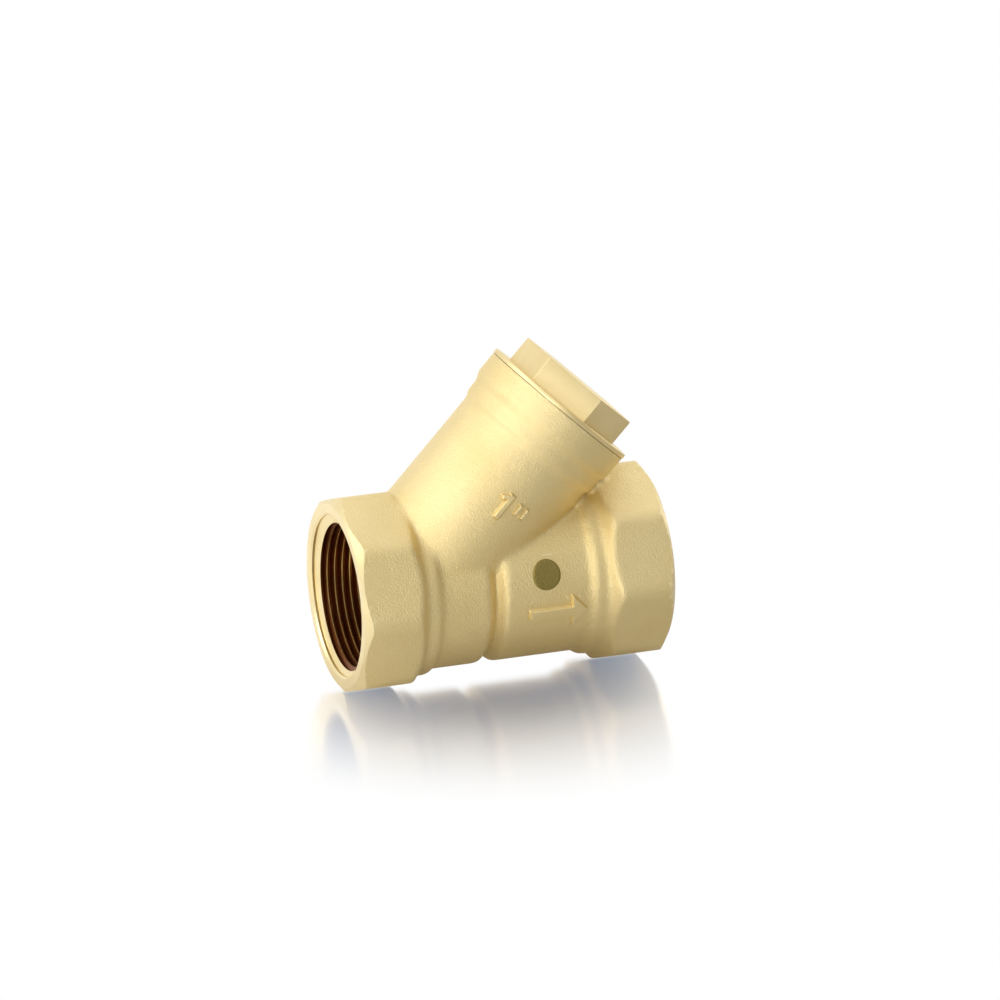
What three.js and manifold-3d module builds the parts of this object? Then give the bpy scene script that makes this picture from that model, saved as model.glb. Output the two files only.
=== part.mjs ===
// Y strainer for a 1 inch pipe: a forged brass body with two threaded octagonal ends, and a slanted
// branch that a hexagon-headed cap closes. A stainless screen basket stands in the branch, between
// a seat in the body and the cap.
//
// Millimetres. +X runs along the pipe in the direction of flow, +Z is up in the plane of the branch.
// The origin is the centre of the inlet face, on the run axis.

import * as THREE from 'three';
import { mergeVertices } from 'three/addons/utils/BufferGeometryUtils.js';
import Module from 'manifold-3d';

const wasm = await Module();
wasm.setup();

// ---------------------------------------------------------------------------------------------
// Driving dimensions

const TOUCH_GAP = 0.3;            // left between two pieces that touch on the real object
const ROUND_SIDES = 32;           // sides of a turned surface on the body and the cap
const SCREEN_SIDES = 32;          // sides of the screen, its rings and the gasket

// Run
const OVERALL_LENGTH = 68;
const RUN_RADIUS = 17.6;          // outside of the barrel
const WAIST_X = 30;               // groove round the middle of the barrel
const WAIST_DEPTH = 1.3;
const WAIST_HALF_WIDTH = 2.3;

// Octagonal ends
const ACROSS_FLATS = 40;
const CORNER_ROUND = 1.2;
const OCTAGON_LENGTH = 11.7;      // measured along a corner, from the end face
const END_FACE_RADIUS = 19.4;     // outside of the flat machined ring
const END_CHAMFER = 1.7;          // length of the turned chamfer at a corner
const SHOULDER_SLOPE = 1.2;       // radius lost for each millimetre along the octagon's shoulder
const SHOULDER_LAND_RISE = 1.05;  // height of the round land behind each octagon over the barrel
const SHOULDER_LAND_LENGTH = 2.6;
const SHOULDER_RAMP = 1.5;        // length of the ramp from the land down to the barrel

// Female pipe threads, G1: the bore is cut at the thread's inner radius
const THREAD_INNER_RADIUS = 15.15;
const THREAD_END = 12;            // depth of the threaded part from the end face
const MOUTH_RADIUS = 17.4;        // lip at the end face
const MOUTH_LIP = 0.4;
const MOUTH_DEPTH = 1.4;
const PASSAGE_RADIUS = 12.6;      // plain bore behind each thread
const INLET_PASSAGE_END = 15;
const OUTLET_PASSAGE_START = 33;

// Branch, measured along its own axis from where that axis crosses the run axis
const BRANCH_ANGLE = 47;          // degrees from the run axis
const BRANCH_X = 15.7;            // where the two axes cross
const BRANCH_RADIUS = 15.8;
const COLLAR_WALL = 3.25;         // brass round the cap thread
const COLLAR_LENGTH = 4.8;
const COLLAR_RAMP = 1.6;
const BAND_RISE = 0.65;           // raised band under the collar
const BAND_LENGTH = 3;
const BAND_RAMP = 0.8;
const CHAMBER_RADIUS = 12.8;
const SEAT_S = 9.5;               // face in the body that the screen stands on
const SEAT_HOLE_RADIUS = 9.2;
const SEAT_HOLE_START = -8;       // where the slanted hole begins, in the inlet passage
const LOCATING_LENGTH = 4.5;      // short bore that centres the foot of the screen

// Cap, M28 x 1.5
const CAP_THREAD_RADIUS = 13.75;
const CAP_THREAD_CLEARANCE = 0.3;
const CAP_THREAD_LENGTH = 7.1;
const THREAD_RUNOUT = 1.5;        // bore left free below the end of the cap's thread
const CAP_WALL = 1.85;
const FLANGE_RADIUS = 17.4;
const FLANGE_THICKNESS = 1.0;
const FLANGE_HEADROOM = 2.395;    // from the outlet octagon's corner up to the flange's lowest edge
const HEX_ACROSS_FLATS = 24;
const HEX_HEIGHT = 5.9;
const HEX_BEVEL = 0.6;
const HEX_POCKET_RADIUS = 8.5;
const HEX_POCKET_ROOF = 3;

// Gasket
const GASKET_WALL = 1.6;
const GASKET_THICKNESS = 1.0;

// Screen
const SCREEN_CLEARANCE = 0.4;     // round the screen rings in the locating bore and in the cap
const RING_LIP = 0.35;            // sheet thickness of the two channel-shaped end rings
const RING_HEIGHT = 2.5;
const SLEEVE_THICKNESS = 0.3;
const TUBE_THICKNESS = 0.5;
const PERFORATION_RADIUS = 1.5;
const PERFORATIONS_ROUND = 8;
const PERFORATION_ROW_PITCH = 4.4;
const PERFORATION_SIDES = 6;

// ---------------------------------------------------------------------------------------------
// Worked out from the driving dimensions

const octagonCorner = ACROSS_FLATS / 2 / Math.cos(Math.PI / 8);
const landRadius = RUN_RADIUS + SHOULDER_LAND_RISE;
const shoulderLength = (octagonCorner - landRadius) / SHOULDER_SLOPE;

// The cap's flange clears the outlet octagon, and the branch is as long as that takes.
const branchTilt = THREE.MathUtils.degToRad(BRANCH_ANGLE);
const flangeDrop = FLANGE_RADIUS * Math.cos(branchTilt);
const flangeUnder = (octagonCorner + FLANGE_HEADROOM + flangeDrop) / Math.sin(branchTilt);
const branchLength = flangeUnder - TOUCH_GAP;   // to the face that the cap closes

const bodyThreadRadius = CAP_THREAD_RADIUS + CAP_THREAD_CLEARANCE;
const collarRadius = bodyThreadRadius + COLLAR_WALL;
const flangeTop = flangeUnder + FLANGE_THICKNESS;
const capFoot = flangeUnder - CAP_THREAD_LENGTH;
const gasketTop = flangeUnder - TOUCH_GAP;
const gasketFoot = gasketTop - GASKET_THICKNESS;
const gasketRecess = gasketFoot - TOUCH_GAP;
const gasketInner = bodyThreadRadius + TOUCH_GAP;
const gasketOuter = gasketInner + GASKET_WALL;

const capRecessRadius = CAP_THREAD_RADIUS - CAP_WALL;
const capRecessRoof = branchLength - 0.2;
const ringOuter = capRecessRadius - SCREEN_CLEARANCE;
const locatingRadius = ringOuter + SCREEN_CLEARANCE;
const sleeveOuter = ringOuter - RING_LIP - TOUCH_GAP;
const sleeveInner = sleeveOuter - SLEEVE_THICKNESS;
const tubeOuter = sleeveInner - TOUCH_GAP;
const tubeInner = tubeOuter - TUBE_THICKNESS;
const ringInner = tubeInner - TOUCH_GAP - RING_LIP;
const screenFoot = SEAT_S + TOUCH_GAP;
const screenTop = capRecessRoof - TOUCH_GAP;
const wallFoot = screenFoot + RING_LIP + TOUCH_GAP;
const wallTop = screenTop - RING_LIP - TOUCH_GAP;

// ---------------------------------------------------------------------------------------------
// Materials

const brass = new THREE.MeshStandardMaterial({ color: 0xd2bb7c, roughness: 0.42, metalness: 1 });
const steel = new THREE.MeshStandardMaterial({ color: 0xb9bbbd, roughness: 0.35, metalness: 1 });
const fibre = new THREE.MeshStandardMaterial({ color: 0x7a3a1c, roughness: 0.85, metalness: 0 });

// ---------------------------------------------------------------------------------------------
// Solids

// A closed geometry as a solid that can be joined and cut.
function solid(geometry) {
  const bare = geometry.clone();
  bare.deleteAttribute('normal');
  bare.deleteAttribute('uv');
  const merged = mergeVertices(bare, 1e-5);
  const index = merged.index.array;
  const triangles = [];
  for (let i = 0; i < index.length; i += 3) {
    const [a, b, c] = [index[i], index[i + 1], index[i + 2]];
    if (a !== b && b !== c && c !== a) {
      triangles.push(a, b, c);
    }
  }
  return new wasm.Manifold(new wasm.Mesh({
    numProp: 3,
    vertProperties: new Float32Array(merged.attributes.position.array),
    triVerts: new Uint32Array(triangles),
  }));
}

// A solid as a mesh with a name and a material.
function piece(name, shape, material) {
  const data = shape.getMesh();
  const geometry = new THREE.BufferGeometry();
  geometry.setAttribute('position', new THREE.BufferAttribute(data.vertProperties, 3));
  geometry.setIndex(new THREE.BufferAttribute(data.triVerts, 1));
  geometry.computeVertexNormals();
  const mesh = new THREE.Mesh(geometry, material);
  mesh.name = name;
  return mesh;
}

// A shape turned about the X axis. The outline is a list of [distance along X, radius].
function turned(outline, sides = ROUND_SIDES) {
  const points = outline.map(([along, radius]) => new THREE.Vector2(radius, along));
  const geometry = new THREE.LatheGeometry(points, sides);
  geometry.rotateZ(-Math.PI / 2);
  return solid(geometry);
}

// A turned bar: its outline is closed to the axis at both ends.
function turnedBar(outline, sides = ROUND_SIDES) {
  const first = outline[0][0];
  const last = outline[outline.length - 1][0];
  return turned([[first, 0], ...outline, [last, 0]], sides);
}

// A turned ring: its outline closes on itself.
function turnedRing(outline) {
  return turned([...outline, outline[0]], SCREEN_SIDES);
}

// A regular polygon with a corner on +Y of its own plane and its corners rounded off.
function polygon(sides, acrossFlats, round) {
  const corner = acrossFlats / 2 / Math.cos(Math.PI / sides);
  const centre = corner - round / Math.cos(Math.PI / sides);
  const shape = new THREE.Shape();
  for (let i = 0; i < sides; i += 1) {
    const angle = Math.PI / 2 + i * 2 * Math.PI / sides;
    const x = centre * Math.cos(angle);
    const y = centre * Math.sin(angle);
    shape.absarc(x, y, round, angle - Math.PI / sides, angle + Math.PI / sides, false);
  }
  shape.closePath();
  return shape;
}

// Turns a prism that was extruded along +Z, with its first corner on +Y, to lie along +X with that
// corner on +Z.
function alongX(geometry) {
  geometry.rotateX(Math.PI / 2);
  geometry.rotateZ(Math.PI / 2);
  return geometry;
}

// Moves a solid that is built along +X about the run's own origin onto the branch axis.
function onBranch(shape) {
  return shape.rotate([0, -BRANCH_ANGLE, 0]).translate([BRANCH_X, 0, 0]);
}

// ---------------------------------------------------------------------------------------------
// Body

// One octagonal end, with its end face at x = 0 and its shoulder towards +X.
function octagonEnd() {
  const depth = OCTAGON_LENGTH + shoulderLength + SHOULDER_LAND_LENGTH;
  const prism = solid(alongX(new THREE.ExtrudeGeometry(
    polygon(8, ACROSS_FLATS, CORNER_ROUND),
    { depth, bevelEnabled: false, curveSegments: 2 },
  )));
  const envelope = turnedBar([
    [0, END_FACE_RADIUS],
    [END_CHAMFER, octagonCorner],
    [OCTAGON_LENGTH, octagonCorner],
    [OCTAGON_LENGTH + shoulderLength, landRadius],
    [depth, landRadius],
  ]);
  return prism.intersect(envelope);
}

// The same end turned round, with its end face at the outlet.
function outletEnd() {
  return octagonEnd().rotate([0, 0, 180]).translate([OVERALL_LENGTH, 0, 0]);
}

function barrel() {
  const land = OCTAGON_LENGTH + shoulderLength + SHOULDER_LAND_LENGTH;
  const end = OVERALL_LENGTH - land;
  return turnedBar([
    [OCTAGON_LENGTH, landRadius],
    [land, landRadius],
    [land + SHOULDER_RAMP, RUN_RADIUS],
    [WAIST_X - WAIST_HALF_WIDTH, RUN_RADIUS],
    [WAIST_X, RUN_RADIUS - WAIST_DEPTH],
    [WAIST_X + WAIST_HALF_WIDTH, RUN_RADIUS],
    [end - SHOULDER_RAMP, RUN_RADIUS],
    [end, landRadius],
    [OVERALL_LENGTH - OCTAGON_LENGTH, landRadius],
  ]);
}

function branch() {
  const collarFoot = branchLength - COLLAR_LENGTH;
  const bandTop = collarFoot - COLLAR_RAMP;
  const bandFoot = bandTop - BAND_LENGTH;
  return onBranch(turnedBar([
    [0, BRANCH_RADIUS],
    [bandFoot - BAND_RAMP, BRANCH_RADIUS],
    [bandFoot, BRANCH_RADIUS + BAND_RISE],
    [bandTop, BRANCH_RADIUS + BAND_RISE],
    [collarFoot, collarRadius],
    [branchLength, collarRadius],
  ]));
}

// The threaded mouth at x = 0 with the plain passage behind it.
function mouth(passageEnd) {
  const neck = THREAD_INNER_RADIUS - PASSAGE_RADIUS;
  const counterbore = MOUTH_RADIUS - MOUTH_LIP;
  return turnedBar([
    [-1, MOUTH_RADIUS],
    [0, MOUTH_RADIUS],
    [MOUTH_LIP, counterbore],
    [MOUTH_DEPTH, counterbore],
    [MOUTH_DEPTH + counterbore - THREAD_INNER_RADIUS, THREAD_INNER_RADIUS],
    [THREAD_END, THREAD_INNER_RADIUS],
    [THREAD_END + neck / 2, PASSAGE_RADIUS],
    [passageEnd, PASSAGE_RADIUS],
  ]);
}

function outletMouth() {
  return mouth(OVERALL_LENGTH - OUTLET_PASSAGE_START).rotate([0, 0, 180]).translate([OVERALL_LENGTH, 0, 0]);
}

// Everything bored along the branch axis: seat hole, locating bore, chamber, cap thread, gasket recess.
function branchBore() {
  const above = branchLength + 1;
  const threadFoot = capFoot - THREAD_RUNOUT;
  return onBranch(turnedBar([
    [SEAT_HOLE_START, SEAT_HOLE_RADIUS],
    [SEAT_S, SEAT_HOLE_RADIUS],
    [SEAT_S, locatingRadius],
    [SEAT_S + LOCATING_LENGTH, locatingRadius],
    [SEAT_S + LOCATING_LENGTH, CHAMBER_RADIUS],
    [threadFoot, CHAMBER_RADIUS],
    [threadFoot, bodyThreadRadius],
    [gasketRecess, bodyThreadRadius],
    [gasketRecess, gasketOuter + TOUCH_GAP],
    [above, gasketOuter + TOUCH_GAP],
  ]));
}

function body() {
  const forging = octagonEnd().add(outletEnd()).add(barrel()).add(branch());
  return forging.subtract(mouth(INLET_PASSAGE_END)).subtract(outletMouth()).subtract(branchBore());
}

// ---------------------------------------------------------------------------------------------
// Cap and gasket, along +X of the branch group

function cap() {
  const turnedPart = turnedBar([
    [capFoot, CAP_THREAD_RADIUS],
    [flangeUnder, CAP_THREAD_RADIUS],
    [flangeUnder, FLANGE_RADIUS],
    [flangeTop, FLANGE_RADIUS],
  ]);
  const hexagon = alongX(new THREE.ExtrudeGeometry(
    polygon(6, HEX_ACROSS_FLATS - 2 * HEX_BEVEL, 0.4),
    {
      depth: HEX_HEIGHT - HEX_BEVEL,
      bevelSize: HEX_BEVEL,
      bevelThickness: HEX_BEVEL,
      bevelSegments: 1,
      curveSegments: 2,
    },
  ));
  hexagon.rotateX(Math.PI / 2);
  hexagon.translate(flangeTop, 0, 0);
  const recess = turnedBar([
    [capFoot - 1, capRecessRadius],
    [capRecessRoof, capRecessRadius],
    [capRecessRoof, HEX_POCKET_RADIUS],
    [flangeTop + HEX_HEIGHT - HEX_POCKET_ROOF, HEX_POCKET_RADIUS],
  ]);
  return turnedPart.add(solid(hexagon)).subtract(recess);
}

function gasket() {
  return turnedRing([
    [gasketFoot, gasketInner],
    [gasketFoot, gasketOuter],
    [gasketTop, gasketOuter],
    [gasketTop, gasketInner],
  ]);
}

// ---------------------------------------------------------------------------------------------
// Screen, along +X of the branch group

// A channel-shaped end ring. It stands at x = 0 and opens towards +X.
function screenRing() {
  return turnedRing([
    [0, ringInner],
    [0, ringOuter],
    [RING_HEIGHT, ringOuter],
    [RING_HEIGHT, ringOuter - RING_LIP],
    [RING_LIP, ringOuter - RING_LIP],
    [RING_LIP, ringInner + RING_LIP],
    [RING_HEIGHT, ringInner + RING_LIP],
    [RING_HEIGHT, ringInner],
  ]);
}

function sleeve() {
  return turnedRing([
    [wallFoot, sleeveInner],
    [wallFoot, sleeveOuter],
    [wallTop, sleeveOuter],
    [wallTop, sleeveInner],
  ]);
}

// The perforated tube. Each cutter is a bar across the whole tube, so it makes two holes.
function supportTube() {
  let tube = turnedRing([
    [wallFoot, tubeInner],
    [wallFoot, tubeOuter],
    [wallTop, tubeOuter],
    [wallTop, tubeInner],
  ]);
  const cutter = solid(new THREE.CylinderGeometry(
    PERFORATION_RADIUS, PERFORATION_RADIUS, 2 * tubeOuter + 2, PERFORATION_SIDES,
  ));
  const margin = RING_HEIGHT + PERFORATION_RADIUS;
  const rows = Math.floor((wallTop - wallFoot - 2 * margin) / PERFORATION_ROW_PITCH);
  const first = (wallFoot + wallTop - rows * PERFORATION_ROW_PITCH) / 2;
  for (let row = 0; row <= rows; row += 1) {
    for (let i = 0; i < PERFORATIONS_ROUND / 2; i += 1) {
      const angle = (i + (row % 2) / 2) * 360 / PERFORATIONS_ROUND;
      tube = tube.subtract(cutter.rotate([angle, 0, 0]).translate([first + row * PERFORATION_ROW_PITCH, 0, 0]));
    }
  }
  return tube;
}

// ---------------------------------------------------------------------------------------------
// Assembly

const strainer = new THREE.Group();
strainer.add(piece('body', body(), brass));

const branchGroup = new THREE.Group();
branchGroup.position.x = BRANCH_X;
branchGroup.rotation.y = -branchTilt;
strainer.add(branchGroup);

branchGroup.add(piece('cap', cap(), brass));
branchGroup.add(piece('cap_gasket', gasket(), fibre));

const screen = new THREE.Group();
branchGroup.add(screen);
screen.add(piece('screen_support_tube', supportTube(), steel));
screen.add(piece('screen_mesh_sleeve', sleeve(), steel));

const bottomRing = piece('screen_bottom_ring', screenRing(), steel);
bottomRing.position.x = screenFoot;
screen.add(bottomRing);

const topRing = piece('screen_top_ring', screenRing(), steel);
topRing.position.x = screenTop;
topRing.rotation.z = Math.PI;
screen.add(topRing);

export default strainer;
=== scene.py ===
# A one inch Y strainer in forged brass: the body with its two threaded octagonal ends, the hexagon-headed
# cap, the flat gasket and the stainless screen that stands in the branch.
#
# Every piece is modelled in millimetres, with +X along the pipe and the origin at the centre of the inlet
# face. What stands in the branch is built along +X and then laid on the branch's axis. Finished meshes are
# brought to metres in settle().

from math import ceil, cos, hypot, pi, radians, sin, tan

import bmesh
import bpy
from mathutils import Matrix, Vector


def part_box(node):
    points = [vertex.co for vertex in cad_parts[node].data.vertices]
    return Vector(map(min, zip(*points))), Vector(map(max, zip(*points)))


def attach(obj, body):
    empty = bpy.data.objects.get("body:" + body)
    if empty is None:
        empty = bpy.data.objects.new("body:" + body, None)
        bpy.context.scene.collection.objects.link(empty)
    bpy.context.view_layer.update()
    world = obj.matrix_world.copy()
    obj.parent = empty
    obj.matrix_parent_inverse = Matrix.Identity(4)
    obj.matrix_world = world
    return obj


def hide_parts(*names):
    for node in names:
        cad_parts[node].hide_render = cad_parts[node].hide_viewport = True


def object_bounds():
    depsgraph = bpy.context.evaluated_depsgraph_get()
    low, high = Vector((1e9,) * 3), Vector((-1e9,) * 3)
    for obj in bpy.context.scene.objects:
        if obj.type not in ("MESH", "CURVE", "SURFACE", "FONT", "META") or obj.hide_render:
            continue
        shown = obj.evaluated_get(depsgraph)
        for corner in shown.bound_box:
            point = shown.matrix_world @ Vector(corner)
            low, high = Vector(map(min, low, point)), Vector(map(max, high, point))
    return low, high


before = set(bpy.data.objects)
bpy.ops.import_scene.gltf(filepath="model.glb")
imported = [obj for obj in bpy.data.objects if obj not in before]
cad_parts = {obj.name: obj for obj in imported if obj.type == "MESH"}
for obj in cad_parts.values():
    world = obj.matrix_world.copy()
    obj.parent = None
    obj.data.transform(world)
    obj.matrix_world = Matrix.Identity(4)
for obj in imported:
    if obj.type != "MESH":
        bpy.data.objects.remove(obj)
cad_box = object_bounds()

MM = 0.001
TURN = 2 * pi
COARSE_STEPS, ROUND_STEPS, FINE_STEPS = 96, 112, 160     # steps round a turned surface
CUTTER_REACH = 30              # further out than any part of the forging

# ---------------------------------------------------------------------------------------------
# Sizes in millimetres

OVERALL_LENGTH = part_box("body")[1].x / MM
RUN_RADIUS = 17.6
WAIST_X = 30
WAIST_DEPTH = 2.3
WAIST_HALF_WIDTH = 1.9

ACROSS_FLATS = 40
CORNER_ROUND = 4.2
OCTAGON_LENGTH = 11.7
END_FACE_RADIUS = 19.4
END_CHAMFER = 1.7
SHOULDER_SLOPE = 1.2
LAND_RADIUS = RUN_RADIUS + 1.05
LAND_LENGTH = 2.6
LAND_RAMP = 1.1
FORGING_STOCK = 1.2            # left on each end of the forging and faced off
OCTAGON_CORNER = ACROSS_FLATS / 2 / cos(pi / 8)
SHOULDER_END = OCTAGON_LENGTH + (OCTAGON_CORNER - LAND_RADIUS) / SHOULDER_SLOPE

VOXEL = 0.5                    # size of the grid that the forging's skin is drawn on
FORGE_PASSES = 4               # rounds of smoothing over the whole skin
BLEND_PASSES = 3               # more of them where the branch leaves the run
BLEND_REACH = 3.2
BLEND_LOWEST = -4              # the blend ends below this height

THREAD_INNER_RADIUS = 15.15
THREAD_OUTER_RADIUS = 16.25
THREAD_PITCH = 1.65
THREAD_END = 12
THREAD_RUNOUT = 1.6
MOUTH_RADIUS = 17.4
MOUTH_LIP = 0.4
MOUTH_DEPTH = 0.9
LEAD_LENGTH = 1.1
LEAD_OVERLAP = 0.4             # the cone's foot lies this far inside the thread's crests
PASSAGE_RADIUS = 12.6
INLET_PASSAGE_END = 15
OUTLET_PASSAGE_START = 33

BRANCH_ANGLE = 47
BRANCH_X = 15.7
BRANCH_RADIUS = 15.8
BRANCH_LENGTH = 48.8
COLLAR_RADIUS = 17.3
COLLAR_LENGTH = 4.8
COLLAR_RAMP = 1.6
BAND_RISE = 0.65
BAND_LENGTH = 3
BAND_RAMP = 0.8
CHAMBER_RADIUS = 12.8
SEAT_S = 9.5
SEAT_HOLE_RADIUS = 9.2
SEAT_HOLE_START = -8
LOCATING_RADIUS = 11.9
LOCATING_LENGTH = 4.5

TOUCH_GAP = 0.3
CAP_THREAD_RADIUS = 13.75
CAP_THREAD_PITCH = 1.5
CAP_THREAD_DEPTH = 0.8
CAP_THREAD_LENGTH = 7.1
CAP_RECESS_RADIUS = 11.9
FLANGE_RADIUS = 17.4
FLANGE_THICKNESS = 1.0
HEX_ACROSS_FLATS = 24
HEX_HEIGHT = 5.9
HEX_BEVEL = 0.45
HEX_OVERLAP = 0.4              # the hexagon is sunk this far into the flange before they are joined
HEX_POCKET_RADIUS = 8.5
HEX_POCKET_ROOF = 3
GASKET_THICKNESS = 1.0
JOINT_SEAM = 0.08              # left open between the collar and the flange
GASKET_INNER = 14.35
GASKET_OUTER = 15.95

FLANGE_UNDER = BRANCH_LENGTH + TOUCH_GAP
FLANGE_TOP = FLANGE_UNDER + FLANGE_THICKNESS
CAP_FOOT = FLANGE_UNDER - CAP_THREAD_LENGTH
CAP_CORE_RADIUS = CAP_THREAD_RADIUS - CAP_THREAD_DEPTH
CAP_RECESS_ROOF = BRANCH_LENGTH - 0.2
GASKET_TOP = FLANGE_UNDER - TOUCH_GAP
GASKET_RECESS = GASKET_TOP - GASKET_THICKNESS - TOUCH_GAP
BODY_THREAD_RADIUS = CAP_THREAD_RADIUS + TOUCH_GAP
BODY_CREST_RADIUS = BODY_THREAD_RADIUS - CAP_THREAD_DEPTH
BODY_THREAD_FOOT = CAP_FOOT - 1.8

RING_OUTER = 11.5
RING_INNER = 9.1
RING_SHEET = 0.35
RING_HEIGHT = 2.5
SCREEN_FOOT = SEAT_S + TOUCH_GAP
SCREEN_TOP = BRANCH_LENGTH - 0.5
WALL_FOOT = SCREEN_FOOT + RING_SHEET + TOUCH_GAP
WALL_TOP = SCREEN_TOP - RING_SHEET - TOUCH_GAP
TUBE_RADIUS = 10.0
TUBE_THICKNESS = 0.45
HOLE_RADIUS = 1.25
HOLES_ROUND = 16
HOLE_ROWS = 10
SLEEVE_RADIUS = 10.7
WIRE_RADIUS = 0.09
WIRE_SWING = 0.055
WIRES_ROUND = 66
WIRE_RINGS = 36

BRANCH_PLACE = Matrix.Translation((BRANCH_X, 0, 0)) @ Matrix.Rotation(-radians(BRANCH_ANGLE), 4, "Y")
BRANCH_AXIS = BRANCH_PLACE.to_3x3() @ Vector((1, 0, 0))
BRANCH_SIDE = BRANCH_PLACE.to_3x3() @ Vector((0, 0, 1))

SHARP_ANGLE = 35               # edges that turn by more stay sharp in the shading

# Material indices
FORGED, TURNED, THREAD = 0, 1, 2


# ---------------------------------------------------------------------------------------------
# Mesh tools

def to_object(name, bm):
    """A mesh object made from a bmesh, which is freed."""
    mesh = bpy.data.meshes.new(name)
    bm.to_mesh(mesh)
    bm.free()
    for _ in (FORGED, TURNED, THREAD):
        mesh.materials.append(None)
    piece = bpy.data.objects.new(name, mesh)
    bpy.context.scene.collection.objects.link(piece)
    return piece


def apply_modifiers(piece):
    bpy.context.view_layer.update()
    graph = bpy.context.evaluated_depsgraph_get()
    mesh = bpy.data.meshes.new_from_object(piece.evaluated_get(graph))
    piece.modifiers.clear()
    old = piece.data
    piece.data = mesh
    bpy.data.meshes.remove(old)
    return piece


def combine(piece, other, operation):
    """Joins, cuts or intersects a closed piece with another one, which is used up."""
    boolean = piece.modifiers.new("combine", "BOOLEAN")
    boolean.solver = "MANIFOLD"
    boolean.operation = operation
    boolean.object = other
    apply_modifiers(piece)
    bpy.data.objects.remove(other)
    return piece


def cut(piece, *cutters):
    for cutter in cutters:
        combine(piece, cutter, "DIFFERENCE")
    return piece


def join(piece, *others):
    for other in others:
        combine(piece, other, "UNION")
    return piece


def place(piece, matrix):
    piece.data.transform(matrix)
    return piece


def turn_about_z(piece):
    """Turns a piece made for the inlet end to the outlet end."""
    return place(piece, Matrix.Translation((OVERALL_LENGTH, 0, 0)) @ Matrix.Rotation(pi, 4, "Z"))


def ridge_edges(bm, angle):
    """Edges whose two faces turn by more than the angle."""
    return [e for e in bm.edges if len(e.link_faces) == 2 and e.calc_face_angle(0) > radians(angle)]


def soften(bm, width, angle=30, segments=2):
    """Rounds off every edge sharper than the angle."""
    bmesh.ops.bevel(
        bm, geom=ridge_edges(bm, angle), offset=width, offset_type="OFFSET", affect="EDGES",
        segments=segments, profile=0.5, material=-1, clamp_overlap=True,
    )


def spin_outline(outline, steps, closed=False):
    """A bmesh turned about the X axis from points of [distance along X, radius]."""
    bm = bmesh.new()
    verts = [bm.verts.new((along, radius, 0)) for along, radius in outline]
    for first, second in zip(verts, verts[1:]):
        bm.edges.new((first, second))
    if closed:
        bm.edges.new((verts[-1], verts[0]))
    bmesh.ops.spin(
        bm, geom=bm.verts[:] + bm.edges[:], cent=(0, 0, 0), axis=(1, 0, 0), dvec=(0, 0, 0),
        angle=TURN, steps=steps, use_merge=True, use_normal_flip=False, use_duplicate=False,
    )
    bmesh.ops.remove_doubles(bm, verts=bm.verts[:], dist=1e-4)
    bmesh.ops.recalc_face_normals(bm, faces=bm.faces[:])
    return bm


def turned_bar(name, outline, steps=COARSE_STEPS, edge=0.0, material=FORGED):
    """A turned bar: its outline is closed to the axis at both ends."""
    first, last = outline[0][0], outline[-1][0]
    bm = spin_outline([(first, 0), *outline, (last, 0)], steps)
    if edge:
        soften(bm, edge)
    for face in bm.faces:
        face.material_index = material
    return to_object(name, bm)


def turned_ring(name, outline, edge):
    """A turned ring: its outline closes on itself."""
    bm = spin_outline(outline, COARSE_STEPS, closed=True)
    soften(bm, edge)
    return to_object(name, bm)


def prism(name, sides, across_flats, length, round_edge):
    """A prism along +X from x = 0 with a corner on +Z and its long edges rounded."""
    bm = bmesh.new()
    corner = across_flats / 2 / cos(pi / sides)
    angles = [TURN * side / sides for side in range(sides)]
    bm.faces.new([bm.verts.new((0, corner * sin(angle), corner * cos(angle))) for angle in angles])
    grown = bmesh.ops.extrude_face_region(bm, geom=bm.faces[:])
    moved = [v for v in grown["geom"] if isinstance(v, bmesh.types.BMVert)]
    bmesh.ops.translate(bm, verts=moved, vec=(length, 0, 0))
    bmesh.ops.recalc_face_normals(bm, faces=bm.faces[:])
    long_edges = [e for e in bm.edges if abs(e.verts[0].co.x - e.verts[1].co.x) > length / 2]
    bmesh.ops.bevel(
        bm, geom=long_edges, offset=round_edge * tan(pi / sides), offset_type="OFFSET", affect="EDGES",
        segments=6, profile=0.5, material=-1, clamp_overlap=True,
    )
    return to_object(name, bm)


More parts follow.
